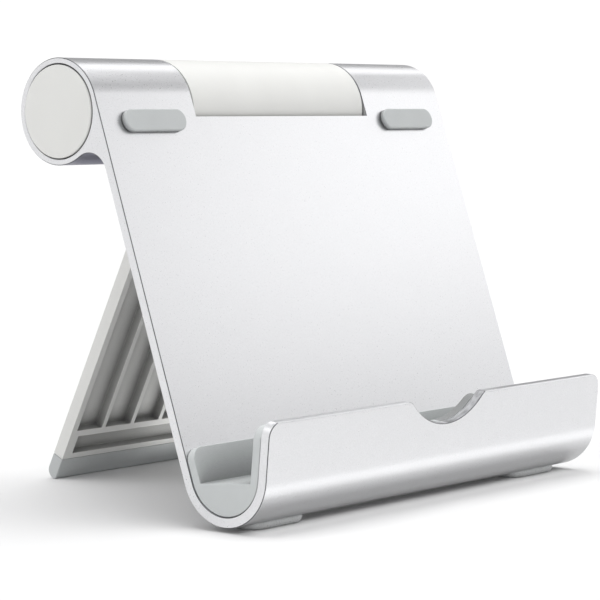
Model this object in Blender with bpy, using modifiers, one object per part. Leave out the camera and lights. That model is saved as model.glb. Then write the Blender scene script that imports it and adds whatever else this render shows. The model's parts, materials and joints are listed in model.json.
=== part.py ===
"""Folding tablet stand.

One bent-profile aluminium extrusion makes the hinge barrel, the leaning panel, the tray and the front lip.
A ribbed plastic leg turns in a window of the barrel on a friction hinge hidden inside it.

X is the width, -Y the front, +Z up.  The floor is z = 0 and the footprint is centred on the origin.
"""
import math

import bmesh
import bpy
from mathutils import Matrix, Vector

MM = 0.001
GAP = 0.3 * MM                      # clearance between neighbouring pieces

# ---- driving dimensions -------------------------------------------------------------------------
WIDTH = 130.0 * MM                  # length of the extrusion
LEAN = math.radians(18.8)           # panel's lean from the vertical
WALL = 2.4 * MM                     # panel, tray and lip thickness
BARREL_RADIUS = 12.4 * MM
BARREL_BORE = 11.0 * MM
BARREL_FILLET = 5.5 * MM            # hollow blend between barrel and panel back
PANEL_RUN = 91.2 * MM               # barrel tangent to tray bend, along the panel
TRAY_RADIUS = 9.9 * MM              # inside radius of the tray bend
LIP_LEAN = math.radians(5.3)        # lip leans forward by this
LIP_RISE = 13.15 * MM               # lip top above the tray bend's centre, along the lip
LIP_CORNER = 3.5 * MM

NOTCH_RADIUS = 19.0 * MM
NOTCH_DEPTH = 6.4 * MM
NOTCH_SHOULDER = 2.5 * MM

WINDOW_HALF = 32.5 * MM             # half width of the hinge window
WINDOW_CLEARANCE = 1.1 * MM         # radial, around the leg's barrel
RELIEF_TOP = 7.0 * MM               # the hollow blend is milled away behind the window from here
RELIEF_TAIL = 4.0 * MM              # to this far past the blend's end
RELIEF_DEPTH = 14.0 * MM
RELIEF_SKIN = 0.05 * MM             # keeps the relief's face off the panel's back plane

AXLE_HEIGHT = 92.5 * MM             # hinge axis above the floor

LINER_WALL = 2.1 * MM
LINER_FLOOR_DROP = 2.45 * MM        # floor below the tray bend's centre
LINER_FLOOR_TILT = math.radians(5.5)
LINER_BACK_RISE = 7.6 * MM
LINER_FRONT_RISE = 11.9 * MM
LINER_CORNER = 3.2 * MM
LINER_SHOULDER = 5.0 * MM

CAP_PROUD = 0.65 * MM               # the end caps' crown stands out of the barrel's end by this
CAP_DOME = 0.3 * MM                 # crown above the cap's rim
CAP_ROUND = 0.4 * MM
CAP_THICKNESS = 2.4 * MM            # from the crown to the inside
CAP_SKIRT_STEP = 0.2 * MM           # the skirt is this much slimmer than the disc
CAP_SKIRT_WALL = 1.45 * MM
CAP_SKIRT_REACH = 6.5 * MM          # from the crown to the skirt's end

PAD_LENGTH = 20.5 * MM
PAD_WIDTH = 5.3 * MM
PAD_HEIGHT = 1.4 * MM
PAD_OFFSET = 48.1 * MM              # pad centre from the middle
PAD_DROP = 6.65 * MM                # pad centre below the barrel tangent, along the panel

FOOT_LENGTH = 19.4 * MM
FOOT_WIDTH = 9.0 * MM
FOOT_OFFSET = 50.3 * MM
FOOT_SEAT = 2.0 * MM                # the feet reach this far up around the tray bend

LEG_LEAN = math.radians(26.2)       # open leg's lean from the vertical
LEG_HALF = WINDOW_HALF - GAP
LEG_FRONT = 9.0 * MM                # front plane of the leg plate from the axis
LEG_THICKNESS = 3.4 * MM
LEG_REACH = 92.9 * MM               # end of the hard leg from the axis
LEG_FILLET = 3.0 * MM               # hollow blend between leg barrel and plate back
RIB_WIDTH = 1.4 * MM
RIB_PITCH = 10.45 * MM
RIB_COUNT = 5
POCKET_DEPTH = 2.3 * MM
POCKET_TOP = 20.0 * MM              # from the axis along the leg
BAR_TOP = 84.7 * MM
TROUGH_TOP = 86.5 * MM
TROUGH_BOTTOM = 91.4 * MM
RIM = 1.8 * MM                      # side rims of the pockets
TROUGH_RIM = 3.0 * MM
TONGUE_LENGTH = 2.4 * MM
TONGUE_THICKNESS = 1.2 * MM
TONGUE_HALF = 27.0 * MM             # half length; it stops short of the leg's sides
FOOT_STRIP_END = 98.96 * MM         # end of the foot strip from the axis
FOOT_STRIP_FRONT_ROUND = 0.8 * MM
FOOT_STRIP_BACK_ROUND = 2.2 * MM

SLEEVE_RADIUS = 9.5 * MM
SLEEVE_FLAT = 7.6 * MM              # key flat's distance from the axis
SHAFT_RADIUS = 4.0 * MM
SHAFT_HALF = 55.0 * MM
PIN_RADIUS = 1.25 * MM
PIN_OFFSET = 20.0 * MM
PIN_HALF = 8.0 * MM
HUB_CLEARANCE = 0.9 * MM            # from the window's end to the hub's face
HUB_LENGTH = 10.0 * MM
HUB_OUTER = BARREL_BORE - 0.35 * MM
HUB_WALL = 1.6 * MM
HUB_BOSS = 7.0 * MM                 # radius of the boss around the shaft
HUB_RECESS = 3.0 * MM
DISC_THICKNESS = 0.9 * MM
DISC_RADIUS = 7.3 * MM
WASHER_THICKNESS = 1.0 * MM
WASHER_RADIUS = 8.0 * MM
SPRING_THICKNESS = 0.5 * MM
SPRING_CONE = 0.5 * MM
SPRING_RADIUS = 7.6 * MM
NUT_ACROSS_FLATS = 13.0 * MM
NUT_HEIGHT = 5.0 * MM
TRIM_SPARE = 1.0 * MM               # walls are drawn this much too high, then milled to shape

# ---- worked-out places (y, z); the hinge axis is the origin of the sections ----------------------
FRONT = Vector((-math.cos(LEAN), math.sin(LEAN)))             # out of the panel's front face
DOWN = Vector((-math.sin(LEAN), -math.cos(LEAN)))             # down the panel
LIP_OUT = Vector((-math.cos(LIP_LEAN), -math.sin(LIP_LEAN)))  # out of the lip's front face
LIP_UP = Vector((-math.sin(LIP_LEAN), math.cos(LIP_LEAN)))
LEG_DOWN = Vector((math.sin(LEG_LEAN), -math.cos(LEG_LEAN)))
LEG_OUT = Vector((-math.cos(LEG_LEAN), -math.sin(LEG_LEAN)))  # out of the leg's front face
TRAY_CENTRE = FRONT * (BARREL_RADIUS + TRAY_RADIUS) + DOWN * PANEL_RUN
TRAY_OUTER = TRAY_RADIUS + WALL

# The footprint runs from the lip's top edge to the back of the leg's foot.
LIP_TIP = TRAY_CENTRE + LIP_OUT * TRAY_OUTER + LIP_UP * LIP_RISE
STRIP_BACK_CENTRE = (LEG_OUT * (LEG_FRONT - LEG_THICKNESS + FOOT_STRIP_BACK_ROUND)
                     + LEG_DOWN * (FOOT_STRIP_END - FOOT_STRIP_BACK_ROUND))
BACK_REACH = STRIP_BACK_CENTRE.x + FOOT_STRIP_BACK_ROUND
AXIS = Vector((0.0, -(LIP_TIP.x + BACK_REACH) / 2, AXLE_HEIGHT))

PARTS = "tablet_stand"
CUTTERS = "cutters"


# ---- scene helpers -------------------------------------------------------------------------------
def clear_scene():
    for obj in list(bpy.data.objects):
        bpy.data.objects.remove(obj, do_unlink=True)


def collection(name):
    found = bpy.data.collections.get(name)
    if found is None:
        found = bpy.data.collections.new(name)
        bpy.context.scene.collection.children.link(found)
    return found


def material(name, colour, roughness, metallic=0.0):
    made = bpy.data.materials.get(name)
    if made is None:
        made = bpy.data.materials.new(name)
        made.use_nodes = True
        shader = made.node_tree.nodes["Principled BSDF"]
        shader.inputs["Base Color"].default_value = (*colour, 1.0)
        shader.inputs["Roughness"].default_value = roughness
        shader.inputs["Metallic"].default_value = metallic
    return made


def add_mesh_object(name, mesh, matrix, finish=None):
    """Link a mesh as a part, or as a cutter when it has no finish."""
    obj = bpy.data.objects.new(name, mesh)
    obj.matrix_world = matrix
    if finish is None:
        collection(CUTTERS).objects.link(obj)
        obj.hide_render = True
        obj.display_type = "WIRE"
    else:
        collection(PARTS).objects.link(obj)
        mesh.materials.append(finish)
        mesh.shade_smooth()
        mesh.set_sharp_from_angle(angle=math.radians(30))
    return obj


def basis(u, v, origin):
    """World matrix of a flat drawing whose local x and y lie along u and v."""
    u = Vector(u)
    v = Vector(v)
    w = u.cross(v)
    return Matrix((
        (u.x, v.x, w.x, origin[0]),
        (u.y, v.y, w.y, origin[1]),
        (u.z, v.z, w.z, origin[2]),
        (0.0, 0.0, 0.0, 1.0)))


def section_plane(x=0.0):
    """Drawings in (y, z) about the hinge axis, pulled along X."""
    return basis((0, 1, 0), (0, 0, 1), (x, AXIS.y, AXIS.z))


def plate(name, outlines, thickness, matrix, finish=None):
    """A flat outline, with any holes, pulled to both sides of its plane."""
    curve = bpy.data.curves.new(name, "CURVE")
    curve.dimensions = "2D"
    curve.fill_mode = "BOTH"
    curve.extrude = thickness / 2
    for outline in outlines:
        spline = curve.splines.new("POLY")
        spline.points.add(len(outline) - 1)
        for point, place in zip(spline.points, outline):
            point.co = (place[0], place[1], 0.0, 1.0)
        spline.use_cyclic_u = True
    drawing = bpy.data.objects.new(name + "_drawing", curve)
    collection(CUTTERS).objects.link(drawing)
    drawing.matrix_world = matrix
    bpy.context.view_layer.update()
    evaluated = drawing.evaluated_get(bpy.context.evaluated_depsgraph_get())
    mesh = bpy.data.meshes.new_from_object(evaluated)
    mesh.name = name
    bpy.data.objects.remove(drawing, do_unlink=True)
    work = bmesh.new()
    work.from_mesh(mesh)
    bmesh.ops.remove_doubles(work, verts=work.verts, dist=1e-7)
    bmesh.ops.recalc_face_normals(work, faces=work.faces)
    work.to_mesh(mesh)
    work.free()
    return add_mesh_object(name, mesh, matrix, finish)


def turned(name, profile, steps, x, finish=None, flip=False):
    """A profile of (radius, along) points, top to bottom, spun about the hinge axis at station x."""
    mesh = bpy.data.meshes.new(name)
    verts = [(radius, 0.0, along) for radius, along in profile]
    edges = [(i, i + 1) for i in range(len(profile) - 1)]
    closed = profile[0][0] > 0.0 or profile[-1][0] > 0.0
    if closed:
        edges.append((len(profile) - 1, 0))
    mesh.from_pydata(verts, edges, [])
    side = -1.0 if flip else 1.0
    matrix = basis((0, 1, 0), (0, 0, side), (x, AXIS.y, AXIS.z))
    obj = add_mesh_object(name, mesh, matrix, finish)
    screw = obj.modifiers.new("Turn", "SCREW")
    screw.axis = "Z"
    screw.angle = math.tau
    screw.steps = steps
    screw.render_steps = steps
    screw.use_merge_vertices = True
    screw.merge_threshold = 1e-6
    return obj


def cylinder(name, radius, half_length, matrix, sides, finish=None):
    mesh = bpy.data.meshes.new(name)
    work = bmesh.new()
    bmesh.ops.create_cone(work, cap_ends=True, segments=sides, radius1=radius, radius2=radius,
                          depth=2 * half_length)
    work.to_mesh(mesh)
    work.free()
    return add_mesh_object(name, mesh, matrix, finish)


def box(name, size, matrix, finish=None):
    mesh = bpy.data.meshes.new(name)
    work = bmesh.new()
    bmesh.ops.create_cube(work, size=1.0)
    bmesh.ops.scale(work, vec=size, verts=work.verts)
    work.to_mesh(mesh)
    work.free()
    return add_mesh_object(name, mesh, matrix, finish)


def combine(part, other, operation):
    modifier = part.modifiers.new(other.name, "BOOLEAN")
    modifier.operation = operation
    modifier.solver = "EXACT"
    modifier.object = other


def cut(part, cutter):
    combine(part, cutter, "DIFFERENCE")


def join(part, adder):
    combine(part, adder, "UNION")


# ---- outline helpers -----------------------------------------------------------------------------
def heading(direction):
    return math.atan2(direction[1], direction[0])


def arc(centre, radius, start, sweep, steps):
    """Points on an arc, both ends included; a negative sweep runs clockwise."""
    points = []
    for i in range(steps + 1):
        angle = start + sweep * i / steps
        points.append(Vector((centre[0] + radius * math.cos(angle), centre[1] + radius * math.sin(angle))))
    return points


def circle(radius, sides):
    return arc((0.0, 0.0), radius, 0.0, math.tau * (sides - 1) / sides, sides - 1)


def stadium(length, width, steps=8):
    half = (length - width) / 2
    right = arc((half, 0.0), width / 2, -math.pi / 2, math.pi, steps)
    left = arc((-half, 0.0), width / 2, math.pi / 2, math.pi, steps)
    return right + left


def panel_point(out, down):
    return FRONT * out + DOWN * down


def leg_point(out, down):
    return LEG_OUT * out + LEG_DOWN * down


def clockwise(start, end):
    """Sweep from one heading to another, turning clockwise."""
    return -((start - end) % math.tau)


# ---- fixed side ----------------------------------------------------------------------------------
def tray_arc(radius, steps):
    """The tray bend from the panel side round to the lip side."""
    start = heading(-FRONT)
    return arc(TRAY_CENTRE, radius, start, clockwise(start, heading(LIP_OUT)), steps)


def trim_outline(top, corner, half, notch_shoulder=None):
    """Outline, in a wall's own plane, of what is milled off the wall's top edge.

    Its lower side is the finished edge: round end corners and, where a shoulder is given, the notch."""
    margin = 2 * MM
    edge = [Vector((-half - margin, top - corner))]
    edge += arc((-half + corner, top - corner), corner, math.pi, -math.pi / 2, 6)
    if notch_shoulder is not None:
        centre = Vector((0.0, LIP_RISE - NOTCH_DEPTH + NOTCH_RADIUS))
        rise = centre.y - (top - notch_shoulder)
        shoulder_x = math.sqrt((NOTCH_RADIUS + notch_shoulder) ** 2 - rise ** 2)
        turn = math.atan2(shoulder_x, rise)
        edge += arc((-shoulder_x, top - notch_shoulder), notch_shoulder, math.pi / 2, -turn, 4)
        edge += arc(centre, NOTCH_RADIUS, -math.pi / 2 - turn, 2 * turn, 14)[1:-1]
        edge += arc((shoulder_x, top - notch_shoulder), notch_shoulder, math.pi / 2 + turn, -turn, 4)
    edge += arc((half - corner, top - corner), corner, math.pi / 2, -math.pi / 2, 6)
    edge.append(Vector((half + margin, top - corner)))
    edge.append(Vector((half + margin, top + 2 * margin)))
    edge.append(Vector((-half - margin, top + 2 * margin)))
    return edge


def wall_plane(up, spot):
    """Drawings on a wall: local x along the width, local y up the wall."""
    return basis((1, 0, 0), (0, up.x, up.y), (0.0, AXIS.y + spot.x, AXIS.z + spot.y))


def make_stand_body(aluminium):
    back = BARREL_RADIUS - WALL
    fillet_out = back - BARREL_FILLET
    fillet_down = math.sqrt((BARREL_RADIUS + BARREL_FILLET) ** 2 - fillet_out ** 2)
    fillet_centre = panel_point(fillet_out, fillet_down)
    lip_top = LIP_UP * (LIP_RISE + TRIM_SPARE)

    outline = tray_arc(TRAY_RADIUS, 20)
    outline.append(TRAY_CENTRE + LIP_OUT * TRAY_RADIUS + lip_top)
    outline.append(TRAY_CENTRE + LIP_OUT * TRAY_OUTER + lip_top)
    outline += reversed(tray_arc(TRAY_OUTER, 20))
    start = heading(FRONT)
    end = heading(-fillet_centre)
    outline += arc(fillet_centre, BARREL_FILLET, start, clockwise(start, end), 8)
    start = heading(fillet_centre)
    outline += arc((0.0, 0.0), BARREL_RADIUS, start, (heading(FRONT) - start) % math.tau, 40)[1:]

    body = plate("stand_body", [outline, circle(BARREL_BORE, 40)], WIDTH, section_plane(), aluminium)

    window = cylinder("window_cutter", BARREL_RADIUS + WINDOW_CLEARANCE, WINDOW_HALF,
                      section_plane(), 56)
    cut(body, window)

    relief_length = fillet_down + RELIEF_TAIL - RELIEF_TOP
    relief_place = panel_point(back - RELIEF_SKIN - RELIEF_DEPTH / 2, RELIEF_TOP + relief_length / 2)
    relief = box("fillet_relief_cutter", (RELIEF_DEPTH, relief_length, 2 * WINDOW_HALF),
                 basis((0, FRONT.x, FRONT.y), (0, DOWN.x, DOWN.y),
                       (0.0, AXIS.y + relief_place.x, AXIS.z + relief_place.y)))
    cut(body, relief)

    trim = plate("lip_trim_cutter", [trim_outline(LIP_RISE, LIP_CORNER, WIDTH / 2, NOTCH_SHOULDER)],
                 3 * WALL, wall_plane(LIP_UP, TRAY_CENTRE + LIP_OUT * (TRAY_RADIUS + WALL / 2)))
    cut(body, trim)
    return body


def make_tray_liner(grey):
    outside = TRAY_RADIUS - GAP
    inner = outside - LINER_WALL
    back_top = -DOWN * (LINER_BACK_RISE + TRIM_SPARE)
    front_top = LIP_UP * (LINER_FRONT_RISE + TRIM_SPARE)
    slope = Vector((math.cos(LINER_FLOOR_TILT), -math.sin(LINER_FLOOR_TILT)))
    rise = Vector((math.sin(LINER_FLOOR_TILT), math.cos(LINER_FLOOR_TILT)))

    def floor_corner(out):
        """Where the sloping floor meets a wall's inner face."""
        low = rise * -LINER_FLOOR_DROP
        return TRAY_CENTRE + low + slope * ((inner - low.dot(out)) / slope.dot(out))

    outline = tray_arc(outside, 20)
    outline.append(TRAY_CENTRE + LIP_OUT * outside + front_top)
    outline.append(TRAY_CENTRE + LIP_OUT * inner + front_top)
    outline.append(floor_corner(LIP_OUT))
    outline.append(floor_corner(-FRONT))
    outline.append(TRAY_CENTRE - FRONT * inner + back_top)
    outline.append(TRAY_CENTRE - FRONT * outside + back_top)
    half = WIDTH / 2 - GAP
    liner = plate("tray_liner", [outline], 2 * half, section_plane(), grey)

    middle = outside - LINER_WALL / 2
    front_trim = plate("liner_front_trim_cutter",
                       [trim_outline(LINER_FRONT_RISE, LINER_CORNER, half, LINER_SHOULDER)],
                       2 * LINER_WALL, wall_plane(LIP_UP, TRAY_CENTRE + LIP_OUT * middle))
    cut(liner, front_trim)
    back_trim = plate("liner_back_trim_cutter", [trim_outline(LINER_BACK_RISE, LINER_CORNER, half)],
                      2 * LINER_WALL, wall_plane(-DOWN, TRAY_CENTRE - FRONT * middle))
    cut(liner, back_trim)
    return liner


def make_pad(name, x, grey):
    place = panel_point(BARREL_RADIUS + GAP + (PAD_HEIGHT - GAP) / 2, PAD_DROP)
    matrix = basis((1, 0, 0), (0, -DOWN.x, -DOWN.y), (x, AXIS.y + place.x, AXIS.z + place.y))
    return plate(name, [stadium(PAD_LENGTH, PAD_WIDTH)], PAD_HEIGHT - GAP, matrix, grey)


def make_foot(name, x, rubber):
    height = AXIS.z + TRAY_CENTRE.y - TRAY_OUTER + FOOT_SEAT
    y = AXIS.y + TRAY_CENTRE.x
    foot = plate(name, [stadium(FOOT_LENGTH, FOOT_WIDTH)], height,
                 Matrix.Translation((x, y, height / 2)), rubber)
    seat = cylinder(name + "_seat_cutter", TRAY_OUTER + GAP, FOOT_LENGTH,
                    basis((0, 1, 0), (0, 0, 1), (x, y, AXIS.z + TRAY_CENTRE.y)), 96)
    cut(foot, seat)
    return foot


def make_end_cap(name, side, white):
    """A domed disc with a skirt that snaps into the barrel's bore."""
    disc = BARREL_BORE - GAP
    flat = disc - CAP_ROUND
    skirt_outer = disc - CAP_SKIRT_STEP
    skirt_inner = skirt_outer - CAP_SKIRT_WALL
    rings = 5
    profile = [(flat * i / rings, -CAP_DOME * (i / rings) ** 2) for i in range(rings + 1)]
    profile += [(disc, -CAP_DOME - CAP_ROUND), (disc, -CAP_THICKNESS),
                (skirt_outer, -CAP_THICKNESS - CAP_SKIRT_STEP), (skirt_outer, -CAP_SKIRT_REACH),
                (skirt_inner, -CAP_SKIRT_REACH), (skirt_inner, -CAP_THICKNESS), (0.0, -CAP_THICKNESS)]
    return turned(name, profile, 40, side * (WIDTH / 2 + CAP_PROUD), white, flip=side < 0)


def make_hub(name, side, zinc):
    """Pressed into the bore, with a ring-shaped recess in its outer face."""
    bore = SHAFT_RADIUS + GAP
    profile = [(HUB_OUTER, 0.0), (HUB_OUTER, -HUB_LENGTH), (bore, -HUB_LENGTH), (bore, 0.0), (HUB_BOSS, 0.0),
               (HUB_BOSS, -HUB_RECESS), (HUB_OUTER - HUB_WALL, -HUB_RECESS), (HUB_OUTER - HUB_WALL, 0.0)]
    outer_face = WINDOW_HALF + HUB_CLEARANCE + HUB_LENGTH
    return turned(name, profile, 40, side * outer_face, zinc, flip=side < 0)


# ---- moving side ---------------------------------------------------------------------------------
def key_outline(radius, flat, steps):
    """A circle with one flat, on the side away from the leg plate."""
    half = math.acos(flat / radius)
    start = heading(-LEG_OUT) + half
    return arc((0.0, 0.0), radius, start, math.tau - 2 * half, steps)


def leg_box(name, out, down, x):
    """A box given by its ranges out of the leg's front, down the leg and across it."""
    place = leg_point((out[0] + out[1]) / 2, (down[0] + down[1]) / 2)
    matrix = basis((0, LEG_OUT.x, LEG_OUT.y), (0, LEG_DOWN.x, LEG_DOWN.y),
                   ((x[0] + x[1]) / 2, AXIS.y + place.x, AXIS.z + place.y))
    return box(name, (out[1] - out[0], down[1] - down[0], x[1] - x[0]), matrix)


def make_leg(white):
    back = LEG_FRONT - LEG_THICKNESS
    fillet_out = back - LEG_FILLET
    fillet_down = math.sqrt((BARREL_RADIUS + LEG_FILLET) ** 2 - fillet_out ** 2)
    fillet_centre = leg_point(fillet_out, fillet_down)
    front_leave = leg_point(LEG_FRONT, math.sqrt(BARREL_RADIUS ** 2 - LEG_FRONT ** 2))
    tongue = TONGUE_THICKNESS / 2
    middle = LEG_FRONT - LEG_THICKNESS / 2

    outline = [leg_point(LEG_FRONT, LEG_REACH), leg_point(back, LEG_REACH)]
    start = heading(LEG_OUT)
    end = heading(-fillet_centre)
    outline += arc(fillet_centre, LEG_FILLET, start, clockwise(start, end), 5)
    start = heading(fillet_centre)
    outline += arc((0.0, 0.0), BARREL_RADIUS, start, (heading(front_leave) - start) % math.tau, 44)[1:]
    bore = key_outline(SLEEVE_RADIUS + GAP, SLEEVE_FLAT + GAP, 36)
    leg = plate("leg", [outline, bore], 2 * LEG_HALF, section_plane(), white)

    mouth = 1.0 * MM                # the cutters stand out of the front face by this
    pockets = []
    edges = [-LEG_HALF + RIM]
    for i in range(RIB_COUNT):
        centre = (i - (RIB_COUNT - 1) / 2) * RIB_PITCH
        edges += [centre - RIB_WIDTH / 2, centre + RIB_WIDTH / 2]
    edges.append(LEG_HALF - RIM)
    for i in range(0, len(edges), 2):
        pockets.append((edges[i], edges[i + 1], POCKET_TOP, BAR_TOP))
    pockets.append((-LEG_HALF + TROUGH_RIM, LEG_HALF - TROUGH_RIM, TROUGH_TOP, TROUGH_BOTTOM))
    for number, (left, right, top, bottom) in enumerate(pockets, start=1):
        cut(leg, leg_box("pocket_cutter_%d" % number, (LEG_FRONT - POCKET_DEPTH, LEG_FRONT + mouth),
                         (top, bottom), (left, right)))
    join(leg, leg_box("tongue_adder", (middle - tongue, middle + tongue),
                      (LEG_REACH - mouth, LEG_REACH + TONGUE_LENGTH), (-TONGUE_HALF, TONGUE_HALF)))
    return leg


def make_leg_foot(grey):
    back = LEG_FRONT - LEG_THICKNESS
    middle = LEG_FRONT - LEG_THICKNESS / 2
    top = LEG_REACH + GAP
    slot = TONGUE_THICKNESS / 2 + GAP
    slot_mouth = 1.0 * MM
    front_centre = leg_point(LEG_FRONT - FOOT_STRIP_FRONT_ROUND, FOOT_STRIP_END - FOOT_STRIP_FRONT_ROUND)
    back_centre = leg_point(back + FOOT_STRIP_BACK_ROUND, FOOT_STRIP_END - FOOT_STRIP_BACK_ROUND)
    out = heading(LEG_OUT)
    down = heading(LEG_DOWN)
    inwards = heading(-LEG_OUT)
    outline = [leg_point(back, top), leg_point(LEG_FRONT, top)]
    outline += arc(front_centre, FOOT_STRIP_FRONT_ROUND, out, (down - out) % math.tau, 6)
    outline += arc(back_centre, FOOT_STRIP_BACK_ROUND, down, (inwards - down) % math.tau, 8)
    strip = plate("leg_foot", [outline], 2 * LEG_HALF, section_plane(), grey)
    cut(strip, leg_box("tongue_slot_cutter", (middle - slot, middle + slot),
                       (top - slot_mouth, LEG_REACH + TONGUE_LENGTH + GAP),
                       (-TONGUE_HALF - GAP, TONGUE_HALF + GAP)))
    return strip


def cut_pin_holes(part, reach):
    """Two cross holes for the pins that key the sleeve to the shaft."""
    for word, side in (("left", -1), ("right", 1)):
        hole = cylinder("%s_hole_cutter_%s" % (part.name, word), PIN_RADIUS + GAP, reach,
                        Matrix.Translation((side * PIN_OFFSET, AXIS.y, AXIS.z)), 20)
        cut(part, hole)


def make_core_sleeve(nylon):
    sleeve = plate("core_sleeve",
                   [key_outline(SLEEVE_RADIUS, SLEEVE_FLAT, 32), circle(SHAFT_RADIUS + GAP, 32)],
                   2 * (LEG_HALF - 0.6 * MM), section_plane(), nylon)
    cut_pin_holes(sleeve, SLEEVE_RADIUS + 1 * MM)
    return sleeve


def make_shaft(steel):
    chamfer = 0.6 * MM
    face = SHAFT_RADIUS - chamfer
    shoulder = SHAFT_HALF - chamfer
    profile = [(0.0, SHAFT_HALF), (face, SHAFT_HALF), (SHAFT_RADIUS, shoulder), (SHAFT_RADIUS, -shoulder),
               (face, -SHAFT_HALF), (0.0, -SHAFT_HALF)]
    shaft = turned("hinge_shaft", profile, 32, 0.0, steel)
    cut_pin_holes(shaft, SHAFT_RADIUS + 2 * MM)
    return shaft


def ring(name, inner, outer, thickness, start, side, steps, finish, cone=0.0):
    """A flat or coned washer whose window side starts at the given distance from the middle."""
    profile = [(outer, 0.0), (outer, -thickness), (inner, -thickness - cone), (inner, -cone)]
    return turned(name, profile, steps, side * (start + thickness + cone), finish, flip=side < 0)


def make_lock_nut(name, start, side, steel):
    corner = NUT_ACROSS_FLATS / 2 / math.cos(math.pi / 6)
    return plate(name, [circle(corner, 6), circle(SHAFT_RADIUS + GAP, 24)], NUT_HEIGHT,
                 section_plane(side * (start + NUT_HEIGHT / 2)), steel)


def make_hinge_hardware(bronze, steel, spring_steel):
    """Friction discs between leg and hubs; washers, disc springs and nuts clamp them on the shaft."""
    bore = SHAFT_RADIUS + GAP
    disc_start = LEG_HALF - GAP
    washer_start = WINDOW_HALF + HUB_CLEARANCE + HUB_LENGTH + GAP
    spring_start = washer_start + WASHER_THICKNESS + GAP
    spring_pitch = SPRING_THICKNESS + SPRING_CONE + GAP
    nut_start = spring_start + 2 * spring_pitch
    for word, side in (("left", -1), ("right", 1)):
        ring("friction_disc_" + word, bore, DISC_RADIUS, DISC_THICKNESS, disc_start, side, 32, bronze)
        ring("washer_" + word, bore, WASHER_RADIUS, WASHER_THICKNESS, washer_start, side, 28, steel)
        for number in (1, 2):
            ring("disc_spring_%s_%d" % (word, number), bore, SPRING_RADIUS, SPRING_THICKNESS,
                 spring_start + (number - 1) * spring_pitch, side, 28, spring_steel, cone=SPRING_CONE)
        make_lock_nut("lock_nut_" + word, nut_start, side, steel)
        cylinder("shaft_pin_" + word, PIN_RADIUS, PIN_HALF,
                 Matrix.Translation((side * PIN_OFFSET, AXIS.y, AXIS.z)), 16, steel)


def main():
    clear_scene()
    aluminium = material("anodised_aluminium", (0.80, 0.81, 0.82), 0.38, 1.0)
    white = material("white_plastic", (0.86, 0.86, 0.84), 0.45)
    grey = material("grey_elastomer", (0.48, 0.50, 0.50), 0.65)
    rubber = material("translucent_rubber", (0.50, 0.52, 0.51), 0.5)
    nylon = material("nylon", (0.10, 0.10, 0.11), 0.5)
    zinc = material("zinc_casting", (0.55, 0.56, 0.58), 0.4, 1.0)
    steel = material("bright_steel", (0.60, 0.61, 0.62), 0.3, 1.0)
    spring_steel = material("spring_steel", (0.35, 0.36, 0.38), 0.3, 1.0)
    bronze = material("bronze", (0.55, 0.38, 0.20), 0.4, 1.0)

    make_stand_body(aluminium)
    make_tray_liner(grey)
    for word, side in (("left", -1), ("right", 1)):
        make_end_cap("end_cap_" + word, side, white)
        make_pad("pad_" + word, side * PAD_OFFSET, grey)
        make_foot("foot_" + word, side * FOOT_OFFSET, rubber)
        make_hub("hub_" + word, side, zinc)
    make_leg(white)
    make_leg_foot(grey)
    make_core_sleeve(nylon)
    make_shaft(steel)
    make_hinge_hardware(bronze, steel, spring_steel)


main()
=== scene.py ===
"""Looks of the folding tablet stand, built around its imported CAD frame.

The visible pieces are modelled again here with fine arcs and worked edges, in the same
sections as the CAD: the aluminium extrusion, its tray liner, pads, feet and end caps, and the
ribbed leg with its foot strip.  The hinge hardware inside the barrel keeps its CAD shape and
gets its own finishes.

X is the width, -Y the front, +Z up, in metres.
"""
import json
import math

import bmesh
import bpy
from mathutils import Matrix, Vector


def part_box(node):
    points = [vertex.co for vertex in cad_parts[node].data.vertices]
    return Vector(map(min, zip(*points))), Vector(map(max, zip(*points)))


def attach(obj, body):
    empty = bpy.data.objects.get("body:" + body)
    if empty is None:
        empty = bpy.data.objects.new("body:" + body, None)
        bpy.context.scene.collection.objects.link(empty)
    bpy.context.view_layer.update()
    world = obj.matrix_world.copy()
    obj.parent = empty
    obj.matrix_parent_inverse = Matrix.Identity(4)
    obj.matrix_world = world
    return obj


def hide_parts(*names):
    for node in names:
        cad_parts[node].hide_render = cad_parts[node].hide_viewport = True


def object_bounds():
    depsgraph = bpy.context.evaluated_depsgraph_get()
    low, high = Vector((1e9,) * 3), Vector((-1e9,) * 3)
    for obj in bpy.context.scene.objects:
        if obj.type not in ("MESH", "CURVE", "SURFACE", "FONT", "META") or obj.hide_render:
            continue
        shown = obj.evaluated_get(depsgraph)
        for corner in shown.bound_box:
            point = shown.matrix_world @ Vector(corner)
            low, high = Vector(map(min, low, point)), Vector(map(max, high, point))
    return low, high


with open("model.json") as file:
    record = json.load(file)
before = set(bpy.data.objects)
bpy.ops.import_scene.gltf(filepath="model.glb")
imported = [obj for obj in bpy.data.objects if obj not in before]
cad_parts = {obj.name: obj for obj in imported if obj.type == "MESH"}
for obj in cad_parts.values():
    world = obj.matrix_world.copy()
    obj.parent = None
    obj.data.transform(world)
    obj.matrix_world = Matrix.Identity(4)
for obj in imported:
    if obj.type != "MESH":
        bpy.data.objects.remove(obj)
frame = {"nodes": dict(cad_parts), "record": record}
CAD_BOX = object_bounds()
NODES = frame["nodes"]
MM = 0.001

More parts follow.
